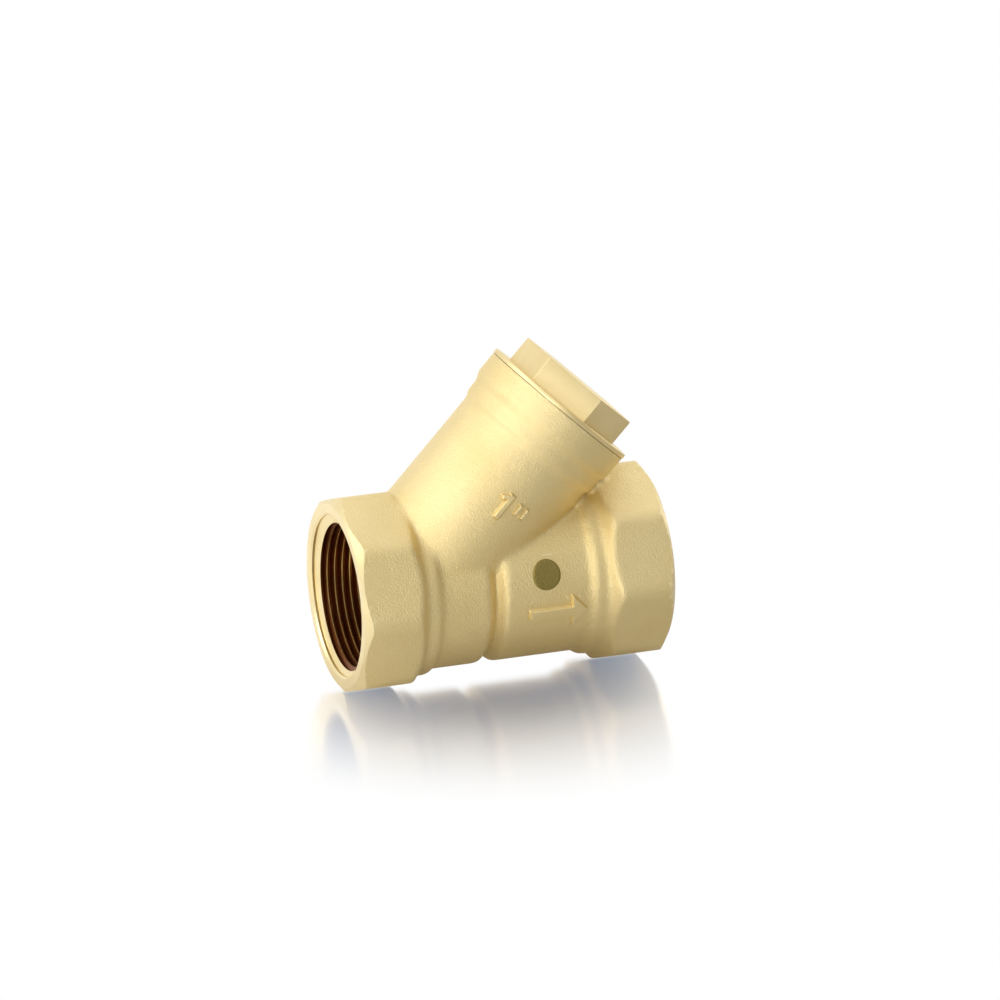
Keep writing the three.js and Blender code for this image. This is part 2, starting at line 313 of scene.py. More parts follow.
def threaded_bar(name, start, end, pitch, inner, outer, runout=0.0):
    """A closed bar along X with a helical thread between two radii, which fades into the inner radius
    over the runout before its end. What lies at the inner radius has the turned finish, and the rest is
    thread."""
    flat = 0.14 * pitch
    half = 0.5 * pitch
    outline = [(0, inner), (flat, inner), (half, outer), (half + flat, outer), (pitch, inner)]
    turns = ceil((end - start) / pitch) + 2
    bm = bmesh.new()
    verts = [bm.verts.new((along + start - 1.5 * pitch, radius, 0)) for along, radius in outline]
    for first, second in zip(verts, verts[1:]):
        bm.edges.new((first, second))
    bmesh.ops.spin(
        bm, geom=bm.verts[:] + bm.edges[:], cent=(0, 0, 0), axis=(1, 0, 0),
        dvec=(pitch / ROUND_STEPS, 0, 0), angle=TURN * turns, steps=ROUND_STEPS * turns,
        use_merge=False, use_normal_flip=False, use_duplicate=False,
    )
    bmesh.ops.remove_doubles(bm, verts=bm.verts[:], dist=0.01)
    for along, way in ((start, -1), (end, 1)):
        bmesh.ops.bisect_plane(
            bm, geom=bm.verts[:] + bm.edges[:] + bm.faces[:], dist=1e-5,
            plane_co=(along, 0, 0), plane_no=(way, 0, 0), clear_outer=True, clear_inner=False,
        )
    if runout:
        for vert in bm.verts:
            share = min(1, max(0, (end - vert.co.x) / runout))
            radius = hypot(vert.co.y, vert.co.z)
            scale = (inner + (radius - inner) * share) / radius
            vert.co.y *= scale
            vert.co.z *= scale
    for face in bm.faces:
        middle = face.calc_center_median()
        face.material_index = THREAD if hypot(middle.y, middle.z) > inner + 0.02 else TURNED
    rim = [e for e in bm.edges if e.is_boundary]
    bmesh.ops.holes_fill(bm, edges=rim, sides=0)
    bmesh.ops.recalc_face_normals(bm, faces=bm.faces[:])
    return to_object(name, bm)


# ---------------------------------------------------------------------------------------------
# Raised marks on the forging, as distances from an outline: negative inside it

def outline_distance(point, outline):
    """Signed distance from a closed outline of straight sides."""
    nearest = None
    inside = False
    previous = outline[-1]
    for corner in outline:
        side = corner - previous
        away = point - previous
        share = min(1, max(0, away.dot(side) / side.length_squared))
        gap = (away - side * share).length
        nearest = gap if nearest is None else min(nearest, gap)
        if (corner.y > point.y) != (previous.y > point.y):
            crossing = previous.x + (point.y - previous.y) / side.y * side.x
            if point.x < crossing:
                inside = not inside
        previous = corner
    return -nearest if inside else nearest


def bar_distance(point, start, end, half_width):
    """Signed distance from a straight stroke with square ends."""
    along = (end - start).normalized()
    middle = (start + end) / 2
    away = point - middle
    reach = abs(away.dot(along)) - (end - start).length / 2
    across = abs(away.dot(along.orthogonal())) - half_width
    outside = hypot(max(reach, 0), max(across, 0))
    return outside + min(0, max(reach, across))


ARROW = [Vector(corner) for corner in (
    (36.6, -3.8), (45.8, -3.8), (45.8, -6.2), (49.2, -2.8), (45.8, 0.6), (45.8, -1.8), (36.6, -1.8),
)]
PAD_CENTRE = Vector((40.5, 5.3))
PAD_RADIUS = 2.95
DIGIT_FOOT = Vector((-2.7, 23.4))     # to the right across the branch, and along it
DIGIT_TOP = DIGIT_FOOT + Vector((0, 6.0))
FLAG_START = DIGIT_FOOT + Vector((-1.65, 4.25))
FLAG_END = DIGIT_TOP + Vector((-0.1, -0.45))
STEM_HALF = 0.62
FLAG_HALF = 0.465
INCH_FOOT = Vector((0.95, 26.4))
INCH_STROKE = Vector((0, 2.5))
INCH_SPREAD = Vector((0.85, 0))
INCH_HALF = 0.42
SIZE_STROKES = (
    (DIGIT_FOOT, DIGIT_TOP, STEM_HALF),
    (FLAG_START, FLAG_END, FLAG_HALF),
    (INCH_FOOT - INCH_SPREAD, INCH_FOOT - INCH_SPREAD + INCH_STROKE, INCH_HALF),
    (INCH_FOOT + INCH_SPREAD, INCH_FOOT + INCH_SPREAD + INCH_STROKE, INCH_HALF),
)
MARK_RISE = 0.9
MARK_SLOPE = 0.44                     # width of the slanted side of a mark
MARK_MARGIN = 1.1                     # the skin is divided finely this far out from a mark
MARK_FRONT = -8                       # marks stand on skin in front of this
PAD_RISE = 0.3


def on_run(point):
    return Vector((point.x, point.z))


def on_branch(point):
    away = point - Vector((BRANCH_X, 0, 0))
    return Vector((-away.dot(BRANCH_SIDE), away.dot(BRANCH_AXIS)))


def arrow_mark(point):
    return outline_distance(on_run(point), ARROW)


def pad_mark(point):
    return (on_run(point) - PAD_CENTRE).length - PAD_RADIUS


def size_mark(point):
    """The figure 1 and the two strokes of the inch sign."""
    spot = on_branch(point)
    return min(bar_distance(spot, *stroke) for stroke in SIZE_STROKES)


MARKS = ((arrow_mark, MARK_RISE), (pad_mark, PAD_RISE), (size_mark, MARK_RISE))


def faces_front(vert):
    return vert.co.y < MARK_FRONT and vert.normal.y < -0.3


def raise_marks(bm):
    """Divides the forging finely round each mark and lifts the mark out of it."""
    for distance, rise in MARKS:
        near = [v for v in bm.verts if faces_front(v) and distance(v.co) < MARK_MARGIN]
        chosen = {e for v in near for e in v.link_edges}
        bmesh.ops.subdivide_edges(bm, edges=list(chosen), cuts=3, use_grid_fill=True)
        bm.normal_update()
        lifts = []
        for vert in filter(faces_front, bm.verts):
            share = min(1, 0.5 - distance(vert.co) / MARK_SLOPE)
            if share > 0:
                lifts.append((vert, vert.normal * rise * share * share * (3 - 2 * share)))
        for vert, lift in lifts:
            vert.co += lift


# ---------------------------------------------------------------------------------------------
# Body

def octagon_blank():
    """One octagonal end of the forging with its round shoulder, at the inlet end."""
    length = SHOULDER_END + LAND_LENGTH + FORGING_STOCK
    blank = prism("octagon", 8, ACROSS_FLATS, length, CORNER_ROUND)
    place(blank, Matrix.Translation((-FORGING_STOCK, 0, 0)))
    envelope = turned_bar("envelope", [
        (-FORGING_STOCK - 1, OCTAGON_CORNER),
        (OCTAGON_LENGTH, OCTAGON_CORNER),
        (SHOULDER_END, LAND_RADIUS),
        (SHOULDER_END + LAND_LENGTH, LAND_RADIUS),
    ], steps=FINE_STEPS)
    return combine(blank, envelope, "INTERSECT")


def barrel_blank():
    """The round run between the two ends, with its waist. Inside the ends it is kept a little under."""
    under = 0.1
    overlap = 3
    start = SHOULDER_END + LAND_LENGTH
    end = OVERALL_LENGTH - start
    return turned_bar("barrel", [
        (OCTAGON_LENGTH - overlap, LAND_RADIUS - under),
        (start - under, LAND_RADIUS - under),
        (start, LAND_RADIUS),
        (start + LAND_RAMP, RUN_RADIUS),
        (WAIST_X - WAIST_HALF_WIDTH, RUN_RADIUS),
        (WAIST_X, RUN_RADIUS - WAIST_DEPTH),
        (WAIST_X + WAIST_HALF_WIDTH, RUN_RADIUS),
        (end - LAND_RAMP, RUN_RADIUS),
        (end, LAND_RADIUS),
        (end + under, LAND_RADIUS - under),
        (OVERALL_LENGTH - OCTAGON_LENGTH + overlap, LAND_RADIUS - under),
    ], steps=FINE_STEPS)


def branch_blank():
    collar_foot = BRANCH_LENGTH - COLLAR_LENGTH
    band_top = collar_foot - COLLAR_RAMP
    band_foot = band_top - BAND_LENGTH
    return place(turned_bar("branch", [
        (0, BRANCH_RADIUS),
        (band_foot - BAND_RAMP, BRANCH_RADIUS),
        (band_foot, BRANCH_RADIUS + BAND_RISE),
        (band_top, BRANCH_RADIUS + BAND_RISE),
        (collar_foot, COLLAR_RADIUS),
        (BRANCH_LENGTH + FORGING_STOCK, COLLAR_RADIUS),
    ], steps=FINE_STEPS), BRANCH_PLACE)


def crotch_share(point):
    """How near a point is to where the branch leaves the run, from 0 to 1."""
    away = point - Vector((BRANCH_X, 0, 0))
    along = away.dot(BRANCH_AXIS)
    off_branch = (away - BRANCH_AXIS * along).length - BRANCH_RADIUS
    off_run = hypot(point.y, point.z) - RUN_RADIUS
    if along < 0 or point.z < BLEND_LOWEST:
        return 0
    reach = max(abs(off_branch), abs(off_run))
    return max(0, 1 - reach / BLEND_REACH)


def relax(bm, verts, passes):
    for _ in range(passes):
        bmesh.ops.smooth_vert(
            bm, verts=verts, factor=0.5, use_axis_x=True, use_axis_y=True, use_axis_z=True,
        )


def forge(piece):
    """Melts the joined blanks into one skin with the soft edges and blends of a forging."""
    remesh = piece.modifiers.new("skin", "REMESH")
    remesh.mode = "VOXEL"
    remesh.voxel_size = VOXEL
    apply_modifiers(piece)
    bm = bmesh.new()
    bm.from_mesh(piece.data)
    relax(bm, bm.verts[:], FORGE_PASSES)
    relax(bm, [v for v in bm.verts if crotch_share(v.co) > 0.05], BLEND_PASSES)
    bm.normal_update()
    raise_marks(bm)
    for face in bm.faces:
        face.material_index = FORGED
    bm.to_mesh(piece.data)
    bm.free()
    return piece


def facing_cutter():
    """Faces the inlet end flat at x = 0 and turns the chamfer on the octagon's corners."""
    slope = END_CHAMFER / (OCTAGON_CORNER - END_FACE_RADIUS)
    back = -5
    bm = spin_outline([
        (0, 0),
        (0, END_FACE_RADIUS),
        ((CUTTER_REACH - END_FACE_RADIUS) * slope, CUTTER_REACH),
        (back, CUTTER_REACH),
        (back, 0),
    ], steps=FINE_STEPS)
    for face in bm.faces:
        face.material_index = TURNED
    return to_object("facing", bm)


def mouth_cutter():
    """The turned mouth and the cone that leads into the thread."""
    counterbore = MOUTH_RADIUS - MOUTH_LIP
    return turned_bar("mouth", [
        (-2, MOUTH_RADIUS),
        (0, MOUTH_RADIUS),
        (MOUTH_LIP, counterbore),
        (MOUTH_DEPTH, counterbore),
        (MOUTH_DEPTH + LEAD_LENGTH, THREAD_INNER_RADIUS - LEAD_OVERLAP),
    ], steps=ROUND_STEPS, material=TURNED)


def passage_cutter(passage_end):
    """The plain bore and the cone that leads into it from the thread."""
    neck = THREAD_INNER_RADIUS - PASSAGE_RADIUS
    return turned_bar("passage", [
        (THREAD_END - 0.2, THREAD_INNER_RADIUS - 0.2),
        (THREAD_END + neck / 2, PASSAGE_RADIUS),
        (passage_end, PASSAGE_RADIUS),
    ], steps=ROUND_STEPS, material=TURNED)


def pipe_thread_cutter():
    return threaded_bar(
        "pipe_thread", MOUTH_DEPTH - 0.4, THREAD_END + 0.6, THREAD_PITCH,
        THREAD_INNER_RADIUS, THREAD_OUTER_RADIUS, runout=THREAD_RUNOUT,
    )


def branch_bore_cutter():
    recess_radius = GASKET_OUTER + TOUCH_GAP
    clear_radius = COLLAR_RADIUS + 2
    return place(turned_bar("branch_bore", [
        (SEAT_HOLE_START, SEAT_HOLE_RADIUS),
        (SEAT_S, SEAT_HOLE_RADIUS),
        (SEAT_S, LOCATING_RADIUS),
        (SEAT_S + LOCATING_LENGTH, LOCATING_RADIUS),
        (SEAT_S + LOCATING_LENGTH, CHAMBER_RADIUS),
        (BODY_THREAD_FOOT, CHAMBER_RADIUS),
        (BODY_THREAD_FOOT + 0.6, BODY_CREST_RADIUS),
        (GASKET_RECESS, BODY_CREST_RADIUS),
        (GASKET_RECESS, recess_radius),
        (FLANGE_UNDER - JOINT_SEAM, recess_radius),
        (FLANGE_UNDER - JOINT_SEAM, clear_radius),
        (FLANGE_UNDER + 4, clear_radius),
    ], steps=ROUND_STEPS, material=TURNED), BRANCH_PLACE)


def branch_thread_cutter():
    """Starts one whole pitch below the cap's thread, so that the two run in step."""
    return place(threaded_bar(
        "branch_thread", CAP_FOOT - CAP_THREAD_PITCH, GASKET_RECESS + 0.4, CAP_THREAD_PITCH,
        BODY_CREST_RADIUS, BODY_THREAD_RADIUS,
    ), BRANCH_PLACE)


def make_body():
    body = octagon_blank()
    body.name = "forged_body"
    join(body, turn_about_z(octagon_blank()), barrel_blank(), branch_blank())
    forge(body)
    cut(body, facing_cutter(), turn_about_z(facing_cutter()))
    cut(body, mouth_cutter(), turn_about_z(mouth_cutter()))
    outlet_passage = passage_cutter(OVERALL_LENGTH - OUTLET_PASSAGE_START)
    cut(body, passage_cutter(INLET_PASSAGE_END), turn_about_z(outlet_passage))
    cut(body, pipe_thread_cutter(), turn_about_z(pipe_thread_cutter()))
    cut(body, branch_bore_cutter(), branch_thread_cutter())
    return body


# ---------------------------------------------------------------------------------------------
# Cap and gasket, along +X from the branch's own origin

def make_cap():
    cap = turned_bar("hex_cap", [
        (FLANGE_UNDER, FLANGE_RADIUS),
        (FLANGE_TOP, FLANGE_RADIUS),
    ], steps=FINE_STEPS, edge=0.18)
    hexagon = prism("hexagon", 6, HEX_ACROSS_FLATS, HEX_HEIGHT + HEX_OVERLAP, 0.25)
    bm = bmesh.new()
    bm.from_mesh(hexagon.data)
    top = [e for e in ridge_edges(bm, 60) if min(v.co.x for v in e.verts) > HEX_HEIGHT]
    bmesh.ops.bevel(
        bm, geom=top, offset=HEX_BEVEL, offset_type="OFFSET", affect="EDGES",
        segments=2, profile=0.5, material=-1, clamp_overlap=True,
    )
    bm.to_mesh(hexagon.data)
    bm.free()
    place(hexagon, Matrix.Translation((FLANGE_TOP - HEX_OVERLAP, 0, 0)) @ Matrix.Rotation(pi / 2, 4, "X"))
    screw = threaded_bar(
        "cap_thread", CAP_FOOT, FLANGE_UNDER - 0.9, CAP_THREAD_PITCH, CAP_CORE_RADIUS, CAP_THREAD_RADIUS,
    )
    neck = turned_bar("neck", [(CAP_FOOT + 1, CAP_CORE_RADIUS), (FLANGE_UNDER + 0.3, CAP_CORE_RADIUS)])
    join(cap, neck, screw, hexagon)
    recess = turned_bar("recess", [
        (CAP_FOOT - 1, CAP_RECESS_RADIUS),
        (CAP_RECESS_ROOF, CAP_RECESS_RADIUS),
        (CAP_RECESS_ROOF, HEX_POCKET_RADIUS),
        (FLANGE_TOP + HEX_HEIGHT - HEX_POCKET_ROOF, HEX_POCKET_RADIUS),
    ])
    cut(cap, recess)
    return place(cap, BRANCH_PLACE)


def make_gasket():
    foot = GASKET_TOP - GASKET_THICKNESS
    return place(turned_ring("flat_gasket", [
        (foot, GASKET_INNER), (foot, GASKET_OUTER), (GASKET_TOP, GASKET_OUTER), (GASKET_TOP, GASKET_INNER),
    ], edge=0.12), BRANCH_PLACE)


# ---------------------------------------------------------------------------------------------
# Screen, along +X from the branch's own origin

def make_ring(name, foot, way):
    """A pressed channel ring that opens the given way along the branch."""
    outer_wall, inner_wall = RING_OUTER - RING_SHEET, RING_INNER + RING_SHEET
    outline = [
        (0, RING_INNER), (0, RING_OUTER), (RING_HEIGHT, RING_OUTER), (RING_HEIGHT, outer_wall),
        (RING_SHEET, outer_wall), (RING_SHEET, inner_wall), (RING_HEIGHT, inner_wall),
        (RING_HEIGHT, RING_INNER),
    ]
    outline = [(foot + way * along, radius) for along, radius in outline]
    return place(turned_ring(name, outline, edge=0.09), BRANCH_PLACE)


def perforated_cell(bm, centre, half_length, half_width, hole):
    """One flat cell of perforated sheet: a round hole joined to an oblong with divided sides."""
    rim = bmesh.ops.create_circle(
        bm, cap_ends=False, segments=16, radius=hole, matrix=Matrix.Translation((*centre, 0)),
    )["verts"]
    edges = list({e for v in rim for e in v.link_edges})
    grown = bmesh.ops.extrude_edge_only(bm, edges=edges)["geom"]
    for vert in (g for g in grown if isinstance(g, bmesh.types.BMVert)):
        away = Vector((vert.co.x - centre[0], vert.co.y - centre[1]))
        angle = away.angle_signed(Vector((1, 0)), 0) % TURN
        quarter, rest = divmod(angle / (pi / 2) + 0.5, 1)
        slide = 2 * rest - 1
        side = [(1, slide), (-slide, 1), (-1, -slide), (slide, -1)][int(round(quarter)) % 4]
        vert.co.x = centre[0] + side[0] * half_length
        vert.co.y = centre[1] + side[1] * half_width


def make_tube():
    """Perforated sheet rolled into a tube."""
    bm = bmesh.new()
    half_length = (WALL_TOP - WALL_FOOT) / HOLE_ROWS / 2
    half_width = pi * TUBE_RADIUS / HOLES_ROUND
    for row in range(HOLE_ROWS):
        for column in range(HOLES_ROUND):
            shift = half_width if row % 2 else 0
            centre = (WALL_FOOT + (2 * row + 1) * half_length, 2 * column * half_width + shift)
            perforated_cell(bm, centre, half_length, half_width, HOLE_RADIUS)
    for vert in bm.verts:
        angle = vert.co.y / TUBE_RADIUS
        vert.co.y = TUBE_RADIUS * cos(angle)
        vert.co.z = TUBE_RADIUS * sin(angle)
    bmesh.ops.remove_doubles(bm, verts=bm.verts[:], dist=0.02)
    bmesh.ops.recalc_face_normals(bm, faces=bm.faces[:])
    bmesh.ops.solidify(bm, geom=bm.faces[:], thickness=TUBE_THICKNESS)
    bmesh.ops.recalc_face_normals(bm, faces=bm.faces[:])
    return place(to_object("perforated_tube", bm), BRANCH_PLACE)


def add_copy(bm, mesh, matrix):
    """Adds a placed copy of a small mesh."""
    copy = mesh.copy()
    copy.transform(matrix)
    bm.from_mesh(copy)
    bpy.data.meshes.remove(copy)


def to_mesh(name, bm):
    mesh = bpy.data.meshes.new(name)
    bmesh.ops.recalc_face_normals(bm, faces=bm.faces[:])
    bm.to_mesh(mesh)
    bm.free()
    return mesh


def sleeve_hoop():
    """One hoop wire at x = 0 that weaves in and out of the strands."""
    bm = bmesh.new()
    bmesh.ops.create_circle(
        bm, cap_ends=False, segments=4, radius=WIRE_RADIUS, matrix=Matrix.Translation((0, SLEEVE_RADIUS, 0)),
    )
    bmesh.ops.spin(
        bm, geom=bm.verts[:] + bm.edges[:], cent=(0, 0, 0), axis=(1, 0, 0), dvec=(0, 0, 0), angle=TURN,
        steps=2 * WIRES_ROUND, use_merge=True, use_normal_flip=False, use_duplicate=False,
    )
    for vert in bm.verts:
        spot = Vector((vert.co.y, vert.co.z))
        swing = WIRE_SWING * cos(spot.angle_signed(Vector((1, 0))) * WIRES_ROUND / 2)
        vert.co.y *= 1 + swing / spot.length
        vert.co.z *= 1 + swing / spot.length
    return to_mesh("hoop", bm)


def sleeve_strand(step, side):
    """One straight wire from x = 0 that weaves in and out of the hoops, starting on the given side."""
    bm = bmesh.new()
    bmesh.ops.create_circle(
        bm, cap_ends=True, segments=4, radius=WIRE_RADIUS,
        matrix=Matrix.Translation((0, SLEEVE_RADIUS, 0)) @ Matrix.Rotation(pi / 2, 4, "Y"),
    )
    grown = bmesh.ops.extrude_face_region(bm, geom=bm.faces[:], use_keep_orig=True)["geom"]
    tip = [g for g in grown if isinstance(g, bmesh.types.BMVert)]
    bmesh.ops.translate(bm, verts=tip, vec=((WIRE_RINGS - 1) * step, 0, 0))
    long_edges = [e for e in bm.edges if e.calc_length() > step]
    bmesh.ops.subdivide_edges(bm, edges=long_edges, cuts=2 * (WIRE_RINGS - 1) - 1)
    for vert in bm.verts:
        vert.co.y -= side * WIRE_SWING * cos(pi * vert.co.x / step)
    return to_mesh("strand", bm)


def make_sleeve():
    """Plain-woven wire cloth rolled into a sleeve."""
    step = (WALL_TOP - WALL_FOOT - 2 * WIRE_RADIUS) / (WIRE_RINGS - 1)
    gauge = TURN / WIRES_ROUND
    foot = Matrix.Translation((WALL_FOOT + WIRE_RADIUS, 0, 0))
    hoop = sleeve_hoop()
    strands = sleeve_strand(step, 1), sleeve_strand(step, -1)
    cloth = bmesh.new()
    for ring in range(WIRE_RINGS):
        turned = Matrix.Rotation(ring * gauge, 4, "X")
        add_copy(cloth, hoop, foot @ Matrix.Translation((ring * step, 0, 0)) @ turned)
    for wire in range(WIRES_ROUND):
        add_copy(cloth, strands[wire % 2], foot @ Matrix.Rotation(wire * gauge, 4, "X"))
    return place(to_object("woven_sleeve", cloth), BRANCH_PLACE)


# ---------------------------------------------------------------------------------------------
# Shader groups

def new_group(name, inputs, outputs):
    """A shader node group with sockets given as (name, type, default)."""
    group = bpy.data.node_groups.new(name, "ShaderNodeTree")
    for label, kind, default in inputs:
        socket = group.interface.new_socket(name=label, in_out="INPUT", socket_type=kind)
        if default is not None:
            socket.default_value = default
    for label, kind in outputs:
        group.interface.new_socket(name=label, in_out="OUTPUT", socket_type=kind)
    nodes = group.nodes
    return group, nodes, group.links, nodes.new("NodeGroupInput"), nodes.new("NodeGroupOutput")


def math_node(nodes, links, operation, first, second=None):
    node = nodes.new("ShaderNodeMath")
    node.operation = operation
    for socket, value in zip(node.inputs, (first, second)):
        if isinstance(value, (int, float)):
            socket.default_value = value
        elif value is not None:
            links.new(value, socket)
    return node.outputs[0]


def mix_colour(nodes, links, factor, first, second, blend="MIX"):
    node = nodes.new("ShaderNodeMix")
    node.data_type = "RGBA"
    node.blend_type = blend
    for socket, value in ((node.inputs[0], factor), (node.inputs[6], first), (node.inputs[7], second)):
        if isinstance(value, (int, float, tuple)):
            socket.default_value = value
        else:
            links.new(value, socket)
    return node.outputs[2]


def ramp_node(nodes, links, value, low, high, to_low=0.0, to_high=1.0):
    node = nodes.new("ShaderNodeMapRange")
    node.interpolation_type = "SMOOTHSTEP"
    links.new(value, node.inputs["Value"])
    for label, number in (("From Min", low), ("From Max", high), ("To Min", to_low), ("To Max", to_high)):
        if isinstance(number, (int, float)):
            node.inputs[label].default_value = number
        else:
            links.new(number, node.inputs[label])
    return node.outputs["Result"]


def noise_node(nodes, links, vector, scale, detail=2.0, roughness=0.5):
    node = nodes.new("ShaderNodeTexNoise")
    links.new(vector, node.inputs["Vector"])
    if isinstance(scale, (int, float)):
        node.inputs["Scale"].default_value = scale
    else:
        links.new(scale, node.inputs["Scale"])
    node.inputs["Detail"].default_value = detail
    node.inputs["Roughness"].default_value = roughness
    return node.outputs["Fac"]


def grain_group():
    """The skin of a blasted forging: sharp fine grain over a slow ripple."""
    group, nodes, links, given, out = new_group(
        "blasted_grain",
        [("Vector", "NodeSocketVector", None), ("Grain", "NodeSocketFloat", 2400.0),
         ("Ripple", "NodeSocketFloat", 420.0), ("Ripple Share", "NodeSocketFloat", 0.5)],
        [("Height", "NodeSocketFloat")],
    )
    fine = noise_node(nodes, links, given.outputs["Vector"], given.outputs["Grain"], 3.0, 0.6)
    slow = noise_node(nodes, links, given.outputs["Vector"], given.outputs["Ripple"], 2.0, 0.5)
    swell = math_node(nodes, links, "MULTIPLY", slow, given.outputs["Ripple Share"])
    links.new(math_node(nodes, links, "ADD", fine, swell), out.inputs["Height"])
    return group


def patina_group():
    """Slow clouds and small specks of a duller colour on a fresh one."""
    group, nodes, links, given, out = new_group(
        "patina",
        [("Vector", "NodeSocketVector", None), ("Fresh", "NodeSocketColor", (1, 1, 1, 1)),
         ("Dull", "NodeSocketColor", (0.5, 0.5, 0.5, 1)), ("Cloud", "NodeSocketFloat", 60.0),
         ("Speck", "NodeSocketFloat", 1600.0), ("Amount", "NodeSocketFloat", 0.5)],
        [("Colour", "NodeSocketColor"), ("Mask", "NodeSocketFloat")],
    )
    cloud = noise_node(nodes, links, given.outputs["Vector"], given.outputs["Cloud"], 4.0, 0.55)
    speck = noise_node(nodes, links, given.outputs["Vector"], given.outputs["Speck"], 2.0, 0.6)
    soft = ramp_node(nodes, links, cloud, 0.35, 0.7)
    sharp = ramp_node(nodes, links, speck, 0.55, 0.75)
    both = math_node(nodes, links, "ADD", soft, math_node(nodes, links, "MULTIPLY", sharp, 0.4))
    mask = math_node(nodes, links, "MULTIPLY", both, given.outputs["Amount"])
    colour = mix_colour(nodes, links, mask, given.outputs["Fresh"], given.outputs["Dull"])
    links.new(colour, out.inputs["Colour"])
    links.new(mask, out.inputs["Mask"])
    return group


def wear_and_painted_light_group():
    """Masks of the proud edges, which are lightened partly as handling wear and partly as painted highlight,
    and of the hollows and creases, which are darkened as painted shade.
    """
    group, nodes, links, given, out = new_group(
        "edge_wear_and_painted_light",
        [("Vector", "NodeSocketVector", None), ("Reach", "NodeSocketFloat", 0.12)],
        [("Edge", "NodeSocketFloat"), ("Hollow", "NodeSocketFloat")],
    )
    shape = nodes.new("ShaderNodeNewGeometry").outputs["Pointiness"]
    ragged = noise_node(nodes, links, given.outputs["Vector"], 900.0, 2.0, 0.6)
    bend = math_node(nodes, links, "SUBTRACT", shape, 0.5)
    reach = given.outputs["Reach"]
    edge = ramp_node(nodes, links, bend, 0.012, reach)
    hollow = ramp_node(nodes, links, math_node(nodes, links, "MULTIPLY", bend, -1.0), 0.015, reach)
    broken = math_node(nodes, links, "ADD", math_node(nodes, links, "MULTIPLY", ragged, 0.6), 0.6)
    links.new(math_node(nodes, links, "MULTIPLY", edge, broken), out.inputs["Edge"])
    links.new(hollow, out.inputs["Hollow"])
    return group


def tool_line_group():
    """Fine irregular turning marks about the vector's X axis, on faces and on cylinders alike."""
    group, nodes, links, given, out = new_group(
        "tool_lines",
        [("Vector", "NodeSocketVector", None), ("Lines", "NodeSocketFloat", 6000.0)],
        [("Height", "NodeSocketFloat")],
    )
    parts = nodes.new("ShaderNodeSeparateXYZ")
    links.new(given.outputs["Vector"], parts.inputs[0])
    y_squared = math_node(nodes, links, "MULTIPLY", parts.outputs["Y"], parts.outputs["Y"])
    z_squared = math_node(nodes, links, "MULTIPLY", parts.outputs["Z"], parts.outputs["Z"])
    radius = math_node(nodes, links, "SQRT", math_node(nodes, links, "ADD", y_squared, z_squared))
    travel = math_node(nodes, links, "ADD", radius, parts.outputs["X"])
    noise = nodes.new("ShaderNodeTexNoise")
    noise.noise_dimensions = "1D"
    links.new(math_node(nodes, links, "MULTIPLY", travel, given.outputs["Lines"]), noise.inputs["W"])
    noise.inputs["Scale"].default_value = 1.0
    noise.inputs["Detail"].default_value = 2.0
    links.new(noise.outputs["Fac"], out.inputs["Height"])
    return group


GRAIN, PATINA, WEAR_AND_PAINTED_LIGHT, TOOL_LINES = grain_group(), patina_group(), wear_and_painted_light_group(), tool_line_group()


# ---------------------------------------------------------------------------------------------
# Materials

def new_material(name, roughness, metallic=1.0):
    material = bpy.data.materials.new(name)
    material.use_nodes = True
    nodes, links = material.node_tree.nodes, material.node_tree.links
    shader = nodes["Principled BSDF"]
    shader.inputs["Roughness"].default_value = roughness
    shader.inputs["Metallic"].default_value = metallic
    spot = nodes.new("ShaderNodeTexCoord").outputs["Object"]
    return material, nodes, links, shader, spot


def use_group(nodes, links, group, vector, **values):
    node = nodes.new("ShaderNodeGroup")
    node.node_tree = group
    links.new(vector, node.inputs["Vector"])
    for label, value in values.items():
        node.inputs[label.replace("_", " ")].default_value = value
    return node


def add_bump(nodes, links, shader, height, strength, distance):
    bump = nodes.new("ShaderNodeBump")
    bump.inputs["Strength"].default_value = strength
    bump.inputs["Distance"].default_value = distance
    links.new(height, bump.inputs["Height"])
    links.new(bump.outputs["Normal"], shader.inputs["Normal"])


def axis_vector(nodes, links, vector, on_branch_axis):
    """Object coordinates with X on the run's axis or on the branch's."""
    mapping = nodes.new("ShaderNodeMapping")
    mapping.vector_type = "TEXTURE"
    if on_branch_axis:
        mapping.inputs["Location"].default_value = (BRANCH_X * MM, 0, 0)
        mapping.inputs["Rotation"].default_value = (0, -radians(BRANCH_ANGLE), 0)
    links.new(vector, mapping.inputs["Vector"])
    return mapping.outputs["Vector"]


# Colours, mostly as a fresh one and a duller one
BRASS_FRESH, BRASS_DULL = (0.86, 0.70, 0.36, 1), (0.76, 0.60, 0.27, 1)
# edge colour: partly handling wear, partly painted highlight on proud edges
EDGE_WEAR_AND_HIGHLIGHT = (0.93, 0.80, 0.47, 1)
# painted shade: darker brass laid into hollows and creases
PAINTED_CREASE_SHADE = (0.68, 0.52, 0.21, 1)
PAD_COLOUR = (0.30, 0.235, 0.07, 1)
RUN_FRESH, RUN_DULL = (0.90, 0.75, 0.42, 1), (0.82, 0.64, 0.30, 1)
CAP_FRESH, CAP_DULL = (0.86, 0.70, 0.37, 1), (0.78, 0.61, 0.28, 1)
# painted shade: near-black brown on the pipe thread's flanks and roots, standing in for shadow in the
# grooves
THREAD_SHADE_FRESH, THREAD_SHADE_DULL = (0.25, 0.080, 0.018, 1), (0.13, 0.036, 0.008, 1)
SCREW_FRESH, SCREW_DULL = (0.76, 0.58, 0.24, 1), (0.62, 0.42, 0.14, 1)
FIBRE_FRESH, FIBRE_DULL = (0.24, 0.07, 0.03, 1), (0.12, 0.035, 0.02, 1)
STEEL_FRESH, STEEL_DULL = (0.60, 0.61, 0.62, 1), (0.42, 0.42, 0.41, 1)


